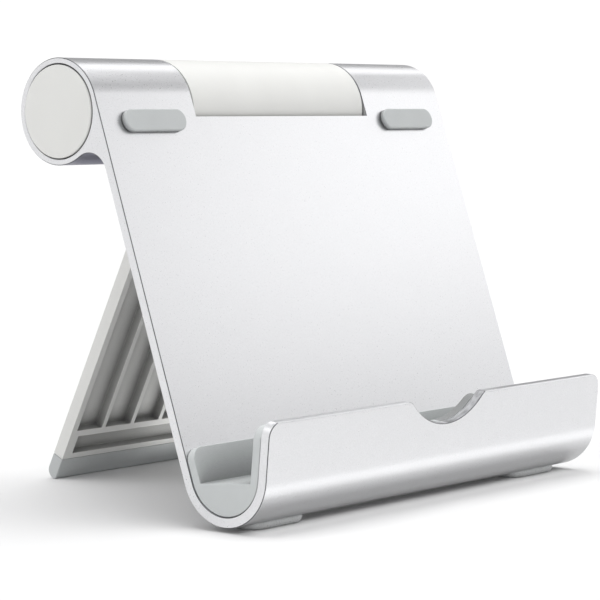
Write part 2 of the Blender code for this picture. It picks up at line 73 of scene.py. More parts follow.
# ---- places and sizes read from the frame ----------------------------------------------------
HINGE = frame["record"]["behaviour"]["joints"][0]
MOUNTS = {mount["name"]: mount for mount in frame["record"]["mounts"]}
AXIS = Vector(HINGE["pos_m"])
BODY_LOW, BODY_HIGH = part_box("stand_body")
LEG_LOW, LEG_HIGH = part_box("leg")
WIDTH = BODY_HIGH.x - BODY_LOW.x
BARREL_RADIUS = BODY_HIGH.z - AXIS.z
PANEL_NORMAL = Vector(MOUNTS["pad_left_face"]["axis"])
LEAN = math.atan2(PANEL_NORMAL.z, -PANEL_NORMAL.y)
TRAY_BOTTOM = BODY_LOW.z
TRAY_Y = MOUNTS["foot_left_base"]["pos_m"][1]
LEG_HALF = (LEG_HIGH.x - LEG_LOW.x) / 2
FLOOR_TILT = math.atan2(MOUNTS["tray_floor"]["axis"][1], MOUNTS["tray_floor"]["axis"][2])

# ---- sizes of the sections -------------------------------------------------------------------
WALL = 2.4 * MM
BARREL_BORE = 11.0 * MM
BARREL_FILLET = 5.5 * MM
TRAY_RADIUS = 9.9 * MM
TRAY_OUTER = TRAY_RADIUS + WALL
LIP_LEAN = math.radians(5.3)
LIP_RISE = 13.15 * MM
LIP_CORNER = 3.5 * MM
NOTCH_RADIUS = 19.0 * MM
NOTCH_DEPTH = 6.4 * MM
NOTCH_SHOULDER = 2.5 * MM
LIP_EDGE = 0.45 * MM                # rounding of the lip's two long edges
LIP_SPARE = 0.02 * MM               # the trim clears the finished lip by this between its cuts
END_CHAMFER = 0.17 * MM
BODY_WELD = 0.16 * MM               # shorter edges are closed up before the chamfer is cut
WINDOW_HALF = LEG_HALF + 0.3 * MM
WINDOW_CLEARANCE = 1.1 * MM
RELIEF_TOP = 7.0 * MM               # the hollow blend is milled away behind the window from here
RELIEF_TAIL = 4.0 * MM              # to this far past the blend's end
RELIEF_DEPTH = 14.0 * MM
RELIEF_SKIN = 0.02 * MM             # keeps the relief's face off the panel's back plane
TRIM_MARGIN = 2.0 * MM              # the trims reach this far past the ends
TRIM_SPARE = 1.0 * MM               # material left above an edge for its trim to take off

LINER_SEAM = 0.12 * MM              # open joint between the liner and the aluminium
LINER_INSET = 0.15 * MM             # the liner's ends stop this far inside the extrusion's
LINER_WALL = 2.1 * MM
LINER_FLOOR_DROP = 2.45 * MM
LINER_BACK_RISE = 7.6 * MM
LINER_FRONT_RISE = 11.9 * MM
LINER_CORNER = 3.2 * MM
LINER_SHOULDER = 5.0 * MM
LINER_EDGE = 0.16 * MM

PAD_LENGTH = 20.5 * MM
PAD_WIDTH = 5.3 * MM
PAD_HEIGHT = 1.4 * MM
PAD_EDGE = 0.34 * MM

FOOT_LENGTH = 19.4 * MM
FOOT_WIDTH = 9.0 * MM
FOOT_SEAT = 2.0 * MM                # the feet reach this far up around the tray bend
FOOT_EDGE = 1.3 * MM

CAP_PROUD = 0.64 * MM               # the caps' crown stands out of the barrel's end by this
CAP_DOME = 0.35 * MM                # crown above the cap's rim
CAP_EDGE = 0.42 * MM
CAP_SEAM = 0.20 * MM                # open ring between the disc and the bore
CAP_THICKNESS = 1.6 * MM
CAP_SKIRT_SEAM = 0.45 * MM
CAP_SKIRT_WALL = 1.55 * MM
CAP_SKIRT_STEP = 0.2 * MM
CAP_SKIRT_REACH = 6.0 * MM
CAP_BREAK = 0.1 * MM                # broken edge of the skirt

LEG_LEAN = math.radians(26.2)
LEG_FRONT = 9.0 * MM
LEG_THICKNESS = 3.4 * MM
LEG_REACH = 92.9 * MM
LEG_FILLET = 3.0 * MM
LEG_BORE = 9.8 * MM
LEG_EDGE = 0.13 * MM
RIB_WIDTH = 1.4 * MM
RIB_PITCH = 10.45 * MM
RIB_COUNT = 5
POCKET_DEPTH = 2.3 * MM
POCKET_TOP = 20.0 * MM
BAR_TOP = 84.7 * MM
TROUGH_TOP = 86.5 * MM
TROUGH_BOTTOM = 91.4 * MM
RIM = 1.8 * MM
TROUGH_RIM = 3.0 * MM
STRIP_END = 98.95 * MM
STRIP_FRONT_ROUND = 0.8 * MM
STRIP_BACK_ROUND = 2.2 * MM
STRIP_SEAM = 0.1 * MM
STRIP_EDGE = 0.22 * MM

BEND_STEPS = 56                     # facets along the tray bend
BARREL_STEPS = 110                  # facets around the visible part of the barrel

# ---- directions and centres in the (y, z) section about the hinge axis -----------------------
FRONT = Vector((-math.cos(LEAN), math.sin(LEAN)))
DOWN = Vector((-math.sin(LEAN), -math.cos(LEAN)))
LIP_OUT = Vector((-math.cos(LIP_LEAN), -math.sin(LIP_LEAN)))
LIP_UP = Vector((-math.sin(LIP_LEAN), math.cos(LIP_LEAN)))
LEG_OUT = Vector((-math.cos(LEG_LEAN), -math.sin(LEG_LEAN)))
LEG_DOWN = Vector((math.sin(LEG_LEAN), -math.cos(LEG_LEAN)))
TRAY_CENTRE = Vector((TRAY_Y - AXIS.y, TRAY_BOTTOM + TRAY_OUTER - AXIS.z))


# ---- drawing helpers -------------------------------------------------------------------------
def heading(direction):
    return math.atan2(direction[1], direction[0])


def arc(centre, radius, start, sweep, steps):
    """Points on an arc, both ends included; a negative sweep runs clockwise."""
    angles = [start + sweep * i / steps for i in range(steps + 1)]
    return [Vector((centre[0] + radius * math.cos(angle), centre[1] + radius * math.sin(angle)))
            for angle in angles]


def open_ring(radius, facets, centre=(0.0, 0.0)):
    """A full circle without its first point repeated."""
    return arc(centre, radius, 0.0, math.tau * (facets - 1) / facets, facets - 1)


def clockwise(start, end):
    """Sweep from one heading to another, running clockwise."""
    return -((start - end) % math.tau)


def counter(start, end):
    """Sweep from one heading to another, running counter-clockwise."""
    return (end - start) % math.tau


def stadium(length, width, steps=32):
    """A slot outline with half-round ends."""
    half = (length - width) / 2
    return (arc((half, 0.0), width / 2, -math.pi / 2, math.pi, steps)
            + arc((-half, 0.0), width / 2, math.pi / 2, math.pi, steps))


def panel_point(out, down):
    """A section point from the hinge axis: out of the panel's face and down along it."""
    return FRONT * out + DOWN * down


def leg_point(out, down):
    """A section point from the hinge axis: out of the leg's front and down along it."""
    return LEG_OUT * out + LEG_DOWN * down


def basis(u, v, origin):
    """World matrix of a flat drawing whose local x and y lie along u and v."""
    u = Vector(u)
    v = Vector(v)
    w = u.cross(v)
    return Matrix(((u.x, v.x, w.x, origin[0]), (u.y, v.y, w.y, origin[1]),
                   (u.z, v.z, w.z, origin[2]), (0.0, 0.0, 0.0, 1.0)))


def section_plane():
    """The section's plane through the middle of the width, drawn about the hinge axis."""
    return basis((0, 1, 0), (0, 0, 1), (0.0, AXIS.y, AXIS.z))


def wall_plane(up, spot):
    """Drawings on a wall: local x along the width, local y up the wall from the spot."""
    return basis((1, 0, 0), (0, up[0], up[1]), (0.0, AXIS.y + spot[0], AXIS.z + spot[1]))


# ---- mesh helpers ----------------------------------------------------------------------------
def add_object(name, mesh):
    obj = bpy.data.objects.new(name, mesh)
    bpy.context.scene.collection.objects.link(obj)
    return obj


def mesh_from(work, name):
    mesh = bpy.data.meshes.new(name)
    work.to_mesh(mesh)
    work.free()
    return mesh


def prism(name, outline, low, high, matrix):
    """A flat outline pulled from low to high along its plane's normal."""
    work = bmesh.new()
    base = work.faces.new([work.verts.new((point[0], point[1], low)) for point in outline])
    pulled = bmesh.ops.extrude_face_region(work, geom=[base])["geom"]
    moved = [item for item in pulled if isinstance(item, bmesh.types.BMVert)]
    bmesh.ops.translate(work, vec=(0.0, 0.0, high - low), verts=moved)
    bmesh.ops.recalc_face_normals(work, faces=work.faces)
    bmesh.ops.transform(work, matrix=matrix, verts=work.verts)
    return add_object(name, mesh_from(work, name))


def turned(name, profile, sides, matrix):
    """A closed (radius, along) profile spun about the local Z axis."""
    work = bmesh.new()
    verts = [work.verts.new((radius, 0.0, along)) for radius, along in profile]
    edges = [work.edges.new(pair) for pair in zip(verts, verts[1:])]
    if profile[0][0] > 0.0:
        edges.append(work.edges.new((verts[-1], verts[0])))
    bmesh.ops.spin(work, geom=verts + edges, cent=(0, 0, 0), axis=(0, 0, 1), angle=math.tau,
                   steps=sides, use_merge=True)
    bmesh.ops.remove_doubles(work, verts=work.verts, dist=1e-7)
    bmesh.ops.recalc_face_normals(work, faces=work.faces)
    bmesh.ops.transform(work, matrix=matrix, verts=work.verts)
    return add_object(name, mesh_from(work, name))


def apply_modifiers(obj):
    bpy.context.view_layer.update()
    evaluated = obj.evaluated_get(bpy.context.evaluated_depsgraph_get())
    finished = bpy.data.meshes.new_from_object(evaluated)
    obj.modifiers.clear()
    obj.data = finished


def carve(part, tools, weld=0.002 * MM):
    """Cut the tools out of the part, then close up the edges shorter than the weld distance."""
    for tool in tools:
        modifier = part.modifiers.new(tool.name, "BOOLEAN")
        modifier.operation = "DIFFERENCE"
        modifier.solver = "EXACT"
        modifier.object = tool
    apply_modifiers(part)
    for tool in tools:
        bpy.data.objects.remove(tool, do_unlink=True)
    work = bmesh.new()
    work.from_mesh(part.data)
    bmesh.ops.remove_doubles(work, verts=work.verts, dist=weld)
    bmesh.ops.dissolve_limit(work, angle_limit=math.radians(0.4), verts=work.verts,
                             edges=work.edges)
    work.to_mesh(part.data)
    work.free()


def set_finishes(part, finishes):
    part.data.materials.clear()
    for finish in finishes:
        part.data.materials.append(finish)


def round_sharp(part, width, segments=2, angle=35.0, material=-1, clamp=True):
    """Round every sharp edge a little."""
    bevel = part.modifiers.new("Edges", "BEVEL")
    bevel.width = width
    bevel.segments = segments
    bevel.limit_method = "ANGLE"
    bevel.angle_limit = math.radians(angle)
    bevel.material = material
    bevel.use_clamp_overlap = clamp
    apply_modifiers(part)


def settle_normals(part, angle=60.0):
    """Set the normals so that the flats stay flat."""
    part.data.shade_smooth()
    part.data.set_sharp_from_angle(angle=math.radians(angle))
    normals = part.modifiers.new("Normals", "WEIGHTED_NORMAL")
    normals.keep_sharp = True
    normals.weight = 100
    apply_modifiers(part)


def work_edges(part, width, finishes, segments=2, angle=35.0):
    """Give the part its finishes and round its sharp edges."""
    set_finishes(part, finishes)
    round_sharp(part, width, segments, angle)
    settle_normals(part)


def finish_notch(part, index):
    """Give the finger notch's cut faces, which run through the wall, their own finish, a darker one
    with painted shade.
    """
    out = Vector((0.0, LIP_OUT[0], LIP_OUT[1]))
    for face in part.data.polygons:
        near = abs(face.center.x) < NOTCH_RADIUS and face.center.y < TRAY_Y
        through = abs(face.normal.dot(out)) < 0.4 and abs(face.normal.x) > 0.02
        if near and through and face.material_index == 0:
            face.material_index = index


def place(part, body, nodes):
    """Give the piece its body and hide the CAD nodes that it stands for."""
    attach(part, body)
    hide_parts(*nodes)
    return part


# ---- node materials --------------------------------------------------------------------------
class Finish:
    """A Principled material in object coordinates, with short calls for its noise layers."""

    def __init__(self, name, metallic=0.0, specular=0.5):
        self.material = bpy.data.materials.new(name)
        self.material.use_nodes = True
        self.tree = self.material.node_tree
        self.shader = self.tree.nodes["Principled BSDF"]
        self.shader.inputs["Metallic"].default_value = metallic
        self.shader.inputs["Specular IOR Level"].default_value = specular
        self.coordinates = self.tree.nodes.new("ShaderNodeTexCoord").outputs["Object"]
        self.height = None

    def link(self, output, socket):
        self.tree.links.new(output, socket)

    def noise(self, size, detail=3.0, roughness=0.6, stretch=None):
        """Noise whose grains measure about size metres."""
        node = self.tree.nodes.new("ShaderNodeTexNoise")
        node.inputs["Scale"].default_value = 1.0 / size
        node.inputs["Detail"].default_value = detail
        node.inputs["Roughness"].default_value = roughness
        source = self.coordinates
        if stretch is not None:
            mapping = self.tree.nodes.new("ShaderNodeMapping")
            mapping.inputs["Scale"].default_value = stretch
            self.link(source, mapping.inputs["Vector"])
            source = mapping.outputs["Vector"]
        self.link(source, node.inputs["Vector"])
        return node.outputs["Fac"]

    def spread(self, value, low, high, start=0.3, end=0.7):
        """Map a noise value onto the range from low to high."""
        node = self.tree.nodes.new("ShaderNodeMapRange")
        node.inputs["From Min"].default_value = start
        node.inputs["From Max"].default_value = end
        node.inputs["To Min"].default_value = low
        node.inputs["To Max"].default_value = high
        self.link(value, node.inputs["Value"])
        return node.outputs["Result"]

    def maths(self, operation, first, second):
        """One arithmetic step; each side is a number or an output."""
        node = self.tree.nodes.new("ShaderNodeMath")
        node.operation = operation
        for socket, value in zip(node.inputs, (first, second)):
            if isinstance(value, (int, float)):
                socket.default_value = value
            else:
                self.link(value, socket)
        return node.outputs["Value"]

    def mix(self, factor, first, second):
        """Colour between first and second; each is a colour or an output."""
        node = self.tree.nodes.new("ShaderNodeMix")
        node.data_type = "RGBA"
        self.link(factor, node.inputs["Factor"])
        for socket, value in ((node.inputs[6], first), (node.inputs[7], second)):
            if isinstance(value, tuple):
                socket.default_value = (*value, 1.0)
            else:
                self.link(value, socket)
        return node.outputs[2]

    def crevice(self, distance, power, alone=False):
        """1 on open surfaces, falling towards 0 in creases narrower than the distance; a mask for
        painted shade.
        With alone, only the piece's own faces count."""
        node = self.tree.nodes.new("ShaderNodeAmbientOcclusion")
        node.samples = 8
        node.only_local = alone
        node.inputs["Distance"].default_value = distance
        return self.maths("POWER", node.outputs["AO"], power)

    def facing_down(self, full, none):
        """1 where the normal's height is below full, falling to 0 at none."""
        geometry = self.tree.nodes.new("ShaderNodeNewGeometry")
        split = self.tree.nodes.new("ShaderNodeSeparateXYZ")
        self.link(geometry.outputs["Normal"], split.inputs["Vector"])
        return self.spread(split.outputs["Z"], 1.0, 0.0, start=full, end=none)

    def bump(self, value, depth):
        """Add a height layer of that depth in metres."""
        node = self.tree.nodes.new("ShaderNodeBump")
        node.inputs["Distance"].default_value = depth
        self.link(value, node.inputs["Height"])
        if self.height is not None:
            self.link(self.height, node.inputs["Normal"])
        self.height = node.outputs["Normal"]

    def done(self, colour, roughness):
        """Connect the finished layers to the shader."""
        self.link(colour, self.shader.inputs["Base Color"])
        self.link(roughness, self.shader.inputs["Roughness"])
        if self.height is not None:
            self.link(self.height, self.shader.inputs["Normal"])
        return self.material


def tone(colour, factor):
    """The colour made lighter or darker."""
    return tuple(channel * factor for channel in colour)


def anodised_aluminium():
    """Bead-blasted and clear anodised: a fine even grain with a faint mottle.
    Painted shade darkens the downward faces close to the floor and the hollow under the barrel."""
    colour = (0.735, 0.737, 0.748)
    # colour of the painted shade in the hollow under the barrel
    painted_shade_colour = (0.34, 0.34, 0.38)
    finish = Finish("anodised_aluminium", metallic=1.0)
    grain = finish.noise(0.35 * MM, detail=3.0, roughness=0.6)
    mottle = finish.noise(6.0 * MM, detail=2.0)
    shade = finish.mix(finish.spread(grain, 0.0, 1.0), tone(colour, 0.945), tone(colour, 1.05))
    shade = finish.mix(finish.spread(mottle, 0.0, 0.35), shade, tone(colour, 0.97))
    # Painted shade: the hollow under the barrel and the downward faces near the floor are painted
    # darker, in the colour and in the tint of the reflections.
    hollow = finish.maths("SUBTRACT", 1.0, finish.crevice(40.0 * MM, 12.0, alone=True))
    painted_shade_under_barrel = finish.maths("MULTIPLY", hollow, finish.facing_down(-0.75, -0.35))
    painted_shade_near_floor = finish.spread(finish.crevice(20.0 * MM, 1.0), 1.0, 0.0, start=0.3, end=0.8)
    painted_shade_near_floor = finish.maths("MULTIPLY", painted_shade_near_floor, finish.facing_down(-0.6, -0.2))
    shade = finish.mix(painted_shade_near_floor, shade, tone(colour, 0.62))
    shade = finish.mix(painted_shade_under_barrel, shade, painted_shade_colour)
    painted_shade_tint = finish.mix(painted_shade_under_barrel, (1.0, 1.0, 1.0), painted_shade_colour)
    finish.link(painted_shade_tint, finish.shader.inputs["Specular Tint"])
    finish.bump(grain, 0.006 * MM)
    return finish.done(shade, finish.spread(grain, 0.27, 0.34))


def milled_aluminium_painted_shade():
    """The finger notch's cut face, with fine cutter lines along the wall, painted darker than the
    anodised face as painted shade.
    """
    # Painted shade: this colour is the aluminium darkened as if in shade.
    colour = (0.36, 0.362, 0.372)
    finish = Finish("milled_aluminium_painted_shade", metallic=1.0)
    lines = finish.noise(0.5 * MM, detail=3.0, stretch=(0.15, 1.0, 0.4))
    shade = finish.mix(finish.spread(lines, 0.0, 1.0), tone(colour, 0.72), tone(colour, 1.30))
    finish.bump(lines, 0.006 * MM)
    return finish.done(shade, finish.spread(lines, 0.32, 0.40))


def cut_aluminium_painted_shade():
    """The narrow machined bevel along the edges, painted dark as painted shade."""
    # Painted shade: this dark colour stands in for the shade that draws a dark line along the
    # edges.
    colour = (0.15, 0.152, 0.16)
    finish = Finish("cut_aluminium_painted_shade", metallic=1.0)
    lines = finish.noise(0.12 * MM, detail=2.0, stretch=(0.2, 1.0, 1.0))
    shade = finish.mix(finish.spread(lines, 0.0, 1.0), tone(colour, 0.90), tone(colour, 1.10))
    finish.bump(lines, 0.004 * MM)
    return finish.done(shade, finish.spread(lines, 0.36, 0.44))


def white_plastic(name, reach, power, depth, alone):
    """Satin moulded ABS with a fine spark-eroded texture; depth is the tone of the painted shade in
    its creases.
    """
    colour = (0.725, 0.725, 0.703)
    finish = Finish(name)
    grain = finish.noise(0.3 * MM, detail=3.0)
    flow = finish.noise(18.0 * MM, detail=2.0, stretch=(1.0, 1.0, 0.4))
    shade = finish.mix(finish.spread(flow, 0.0, 1.0), tone(colour, 0.975), tone(colour, 1.015))
    shade = finish.mix(finish.spread(grain, 0.0, 0.3), shade, tone(colour, 0.96))
    # Painted shade: creases and recesses within reach are painted darker.
    shade = finish.mix(finish.crevice(reach, power, alone), tone(colour, depth), shade)
    finish.bump(grain, 0.010 * MM)
    return finish.done(shade, finish.spread(grain, 0.40, 0.52))


def grey_elastomer(name, colour, reach, power, alone=False):
    """Matte soft-touch elastomer, very slightly uneven, with painted shade where it meets its
    neighbours.
    """
    finish = Finish(name, specular=0.4)
    grain = finish.noise(0.22 * MM, detail=3.0)
    cloud = finish.noise(9.0 * MM, detail=3.0)
    shade = finish.mix(finish.spread(cloud, 0.0, 1.0), tone(colour, 0.965), tone(colour, 1.025))
    shade = finish.mix(finish.spread(grain, 0.0, 0.35), shade, tone(colour, 0.92))
    # Painted shade: darker where it meets its neighbours and in creases within reach.
    shade = finish.mix(finish.crevice(reach, power, alone), tone(colour, 0.15), shade)
    finish.bump(grain, 0.014 * MM)
    return finish.done(shade, finish.spread(grain, 0.56, 0.70))


def translucent_rubber():
    """Cast clear-grey rubber of the front feet."""
    colour = (0.52, 0.53, 0.53)
    finish = Finish("translucent_rubber")
    finish.shader.inputs["Transmission Weight"].default_value = 0.15
    finish.shader.inputs["IOR"].default_value = 1.43
    cloud = finish.noise(3.0 * MM, detail=3.0)
    grain = finish.noise(0.25 * MM, detail=2.0)
    shade = finish.mix(finish.spread(cloud, 0.0, 1.0), tone(colour, 0.94), tone(colour, 1.04))
    finish.bump(grain, 0.006 * MM)
    return finish.done(shade, finish.spread(grain, 0.24, 0.36))


def hinge_metal(name, colour, roughness, grain, metallic=1.0, stretch=None, depth=0.01):
    """Metal or nylon of the hidden hinge: a worked grain over a slow stain of oil and oxide.
    The grain's size and depth are in millimetres."""
    finish = Finish(name, metallic=metallic)
    fine = finish.noise(grain * MM, detail=4.0, stretch=stretch)
    slow = finish.noise(4.0 * MM, detail=3.0)
    shade = finish.mix(finish.spread(fine, 0.0, 1.0), tone(colour, 0.88), tone(colour, 1.08))
    shade = finish.mix(finish.spread(slow, 0.0, 0.6), shade, tone(colour, 0.85))
    finish.bump(fine, depth * MM)
    return finish.done(shade, finish.spread(fine, roughness - 0.07, roughness + 0.09))


def floor_white():
    """Seamless matte white studio floor."""
    colour = (0.77, 0.77, 0.77)
    finish = Finish("studio_floor", specular=0.2)
    cloud = finish.noise(0.3, detail=2.0)
    shade = finish.mix(finish.spread(cloud, 0.0, 1.0), tone(colour, 0.995), tone(colour, 1.005))
    return finish.done(shade, finish.spread(cloud, 0.78, 0.82))


# ---- the fixed side --------------------------------------------------------------------------
def tray_arc(radius):
    """The tray bend from the panel side round to the lip side."""
    start = heading(-FRONT)
    return arc(TRAY_CENTRE, radius, start, clockwise(start, heading(LIP_OUT)), BEND_STEPS)


def trim_outline(top, corner, half, notch_shoulder=None):
    """What is milled off a wall's top edge: its lower side is the finished edge, with round
    corners and, where a shoulder is given, the finger notch."""
    edge = [Vector((-half - TRIM_MARGIN, top - corner))]
    edge += arc((-half + corner, top - corner), corner, math.pi, -math.pi / 2, 12)
    if notch_shoulder is not None:
        centre = Vector((0.0, LIP_RISE - NOTCH_DEPTH + NOTCH_RADIUS))
        rise = centre.y - (top - notch_shoulder)
        shoulder_x = math.sqrt((NOTCH_RADIUS + notch_shoulder) ** 2 - rise ** 2)
        turn = math.atan2(shoulder_x, rise)
        edge += arc((-shoulder_x, top - notch_shoulder), notch_shoulder, math.pi / 2, -turn, 8)
        edge += arc(centre, NOTCH_RADIUS, -math.pi / 2 - turn, 2 * turn, 40)[1:-1]
        edge += arc((shoulder_x, top - notch_shoulder), notch_shoulder, math.pi / 2 + turn, -turn,
                    8)
    edge += arc((half - corner, top - corner), corner, math.pi / 2, -math.pi / 2, 12)
    edge.append(Vector((half + TRIM_MARGIN, top - corner)))
    edge.append(Vector((half + TRIM_MARGIN, top + 2 * TRIM_MARGIN)))
    edge.append(Vector((-half - TRIM_MARGIN, top + 2 * TRIM_MARGIN)))
    return edge


def make_extrusion(aluminium, chamfer, milled):
    """Panel, barrel, tray and lip in one section, with the window, relief and notch milled out."""
    back = BARREL_RADIUS - WALL
    fillet_out = back - BARREL_FILLET
    fillet_down = math.sqrt((BARREL_RADIUS + BARREL_FILLET) ** 2 - fillet_out ** 2)
    fillet_centre = panel_point(fillet_out, fillet_down)
    lip_top = TRAY_CENTRE + LIP_UP * (LIP_RISE - LIP_EDGE)

    lip_inside = lip_top + LIP_OUT * (TRAY_RADIUS + LIP_EDGE)
    lip_outside = lip_top + LIP_OUT * (TRAY_OUTER - LIP_EDGE)

    outline = tray_arc(TRAY_RADIUS)
    outline += arc(lip_inside, LIP_EDGE, heading(-LIP_OUT), math.pi / 2, 4)
    outline += arc(lip_outside, LIP_EDGE, heading(LIP_UP), math.pi / 2, 4)
    outline += reversed(tray_arc(TRAY_OUTER))
    start = heading(FRONT)
    sweep = clockwise(start, heading(-fillet_centre))
    outline += arc(fillet_centre, BARREL_FILLET, start, sweep, 20)
    start = heading(fillet_centre)
    sweep = counter(start, heading(FRONT))
    outline += arc((0.0, 0.0), BARREL_RADIUS, start, sweep, BARREL_STEPS)[1:]
    half = WIDTH / 2
    body = prism("extrusion", outline, -half, half, section_plane())

    bore = prism("bore", open_ring(BARREL_BORE, 120), -half - MM, half + MM, section_plane())
    window = prism("window", open_ring(BARREL_RADIUS + WINDOW_CLEARANCE, 160), -WINDOW_HALF,
                   WINDOW_HALF, section_plane())
    relief_out = (back - RELIEF_SKIN, back - RELIEF_SKIN - RELIEF_DEPTH)
    relief_end = fillet_down + RELIEF_TAIL
    corners = [panel_point(relief_out[0], RELIEF_TOP), panel_point(relief_out[0], relief_end),
               panel_point(relief_out[1], relief_end), panel_point(relief_out[1], RELIEF_TOP)]
    relief = prism("relief", corners, -WINDOW_HALF, WINDOW_HALF, section_plane())
    trim = prism("lip_trim", trim_outline(LIP_RISE + LIP_SPARE, LIP_CORNER, half, NOTCH_SHOULDER),
                 -1.25 * WALL, 1.25 * WALL,
                 wall_plane(LIP_UP, TRAY_CENTRE + LIP_OUT * (TRAY_RADIUS + WALL / 2)))
    carve(body, [bore, window, relief, trim], weld=BODY_WELD)
    set_finishes(body, [aluminium, chamfer, milled])
    round_sharp(body, END_CHAMFER, segments=1, material=1, clamp=False)
    bore_rim = BARREL_BORE + 2 * END_CHAMFER
    for face in body.data.polygons:
        if math.hypot(face.center.y - AXIS.y, face.center.z - AXIS.z) < bore_rim:
            face.material_index = 0
    finish_notch(body, 2)
    settle_normals(body, angle=32.0)
    return place(body, "stand", ["stand_body"])


def make_liner(elastomer, cut_elastomer):
    """Soft lining with a thick sloping floor, a back wall and a notched front wall."""
    outside = TRAY_RADIUS - LINER_SEAM
    inner = outside - LINER_WALL
    front_top = LIP_UP * (LINER_FRONT_RISE + TRIM_SPARE)
    back_top = -DOWN * (LINER_BACK_RISE + TRIM_SPARE)
    slope = Vector((math.cos(FLOOR_TILT), -math.sin(FLOOR_TILT)))
    rise = Vector((math.sin(FLOOR_TILT), math.cos(FLOOR_TILT)))

    def floor_corner(out):
        """Where the sloping floor meets a wall's inner face."""
        low = rise * -LINER_FLOOR_DROP
        return TRAY_CENTRE + low + slope * ((inner - low.dot(out)) / slope.dot(out))

    outline = tray_arc(outside)
    outline.append(TRAY_CENTRE + LIP_OUT * outside + front_top)
    outline.append(TRAY_CENTRE + LIP_OUT * inner + front_top)
    outline.append(floor_corner(LIP_OUT))
    outline.append(floor_corner(-FRONT))
    outline.append(TRAY_CENTRE - FRONT * inner + back_top)
    outline.append(TRAY_CENTRE - FRONT * outside + back_top)
    half = WIDTH / 2 - LINER_INSET
    liner = prism("liner", outline, -half, half, section_plane())
    middle = outside - LINER_WALL / 2
    front_edge = trim_outline(LINER_FRONT_RISE, LINER_CORNER, half, LINER_SHOULDER)
    front_trim = prism("front_trim", front_edge, -TRIM_MARGIN, TRIM_MARGIN,
                       wall_plane(LIP_UP, TRAY_CENTRE + LIP_OUT * middle))
    back_edge = trim_outline(LINER_BACK_RISE, LINER_CORNER, half)
    back_trim = prism("back_trim", back_edge, -TRIM_MARGIN, TRIM_MARGIN,
                      wall_plane(-DOWN, TRAY_CENTRE - FRONT * middle))
    carve(liner, [front_trim, back_trim])
    work_edges(liner, LINER_EDGE, [elastomer, cut_elastomer])
    finish_notch(liner, 1)
    return place(liner, "stand", ["tray_liner"])


def make_pads(elastomer):
    """The two slot-shaped pads on the panel's face."""
    for side in ("left", "right"):
        mount = MOUNTS["pad_%s_face" % side]
        face = Vector(mount["pos_m"])
        matrix = basis((1, 0, 0), (0, -DOWN[0], -DOWN[1]), face)
        pad = prism("soft_pad_" + side, stadium(PAD_LENGTH, PAD_WIDTH), -PAD_HEIGHT, 0.0, matrix)
        work_edges(pad, PAD_EDGE, [elastomer], segments=5)
        place(pad, "stand", ["pad_" + side])


def make_feet(rubber):
    """Rounded feet under the tray, seated against its bend."""
    for side in ("left", "right"):
        base = Vector(MOUNTS["foot_%s_base" % side]["pos_m"])
        foot = prism("soft_foot_" + side, stadium(FOOT_LENGTH, FOOT_WIDTH), 0.0,
                     TRAY_BOTTOM + FOOT_SEAT, Matrix.Translation(base))
        seat = prism("seat", open_ring(TRAY_OUTER, 200, TRAY_CENTRE), base.x - FOOT_LENGTH,
                     base.x + FOOT_LENGTH, section_plane())
        set_finishes(foot, [rubber])
        round_sharp(foot, FOOT_EDGE, segments=6)
        carve(foot, [seat])
        settle_normals(foot)
        place(foot, "stand", ["foot_" + side])


def make_end_caps(plastic):
    """A softly domed disc with a rolled edge and a skirt inside the barrel."""
    disc = BARREL_BORE - CAP_SEAM
    inside = -CAP_THICKNESS - CAP_DOME
    skirt_outer = BARREL_BORE - CAP_SKIRT_SEAM
    skirt_inner = skirt_outer - CAP_SKIRT_WALL
    flat = disc - CAP_EDGE
    crown_steps = 10
    edge_steps = 6
    profile = [(0.0, 0.0)]
    profile += [(flat * i / crown_steps, -CAP_DOME * (i / crown_steps) ** 2)
                for i in range(1, crown_steps + 1)]
    profile += [(flat + CAP_EDGE * math.sin(turn), -CAP_DOME - CAP_EDGE * (1 - math.cos(turn)))
                for turn in (math.pi / 2 * i / edge_steps for i in range(1, edge_steps + 1))]
    profile += [(disc, inside), (skirt_outer, inside - CAP_SKIRT_STEP),
                (skirt_outer, -CAP_SKIRT_REACH), (skirt_inner, -CAP_SKIRT_REACH),
                (skirt_inner, inside), (0.0, inside)]
    for side, sign in (("left", -1), ("right", 1)):
        crown = (sign * (WIDTH / 2 + CAP_PROUD), AXIS.y, AXIS.z)
        matrix = basis((0, 1, 0), (0, 0, sign), crown)
        cap = turned("domed_cap_" + side, profile, 120, matrix)
        work_edges(cap, CAP_BREAK, [plastic], angle=50.0)
        place(cap, "stand", ["end_cap_" + side])


# ---- the moving side -------------------------------------------------------------------------
def leg_box(name, out, down, across):
    """A box in the leg's own directions, given by its two limits along each."""
    corners = [leg_point(out[0], down[0]), leg_point(out[1], down[0]),
               leg_point(out[1], down[1]), leg_point(out[0], down[1])]
    return prism(name, corners, across[0], across[1], section_plane())


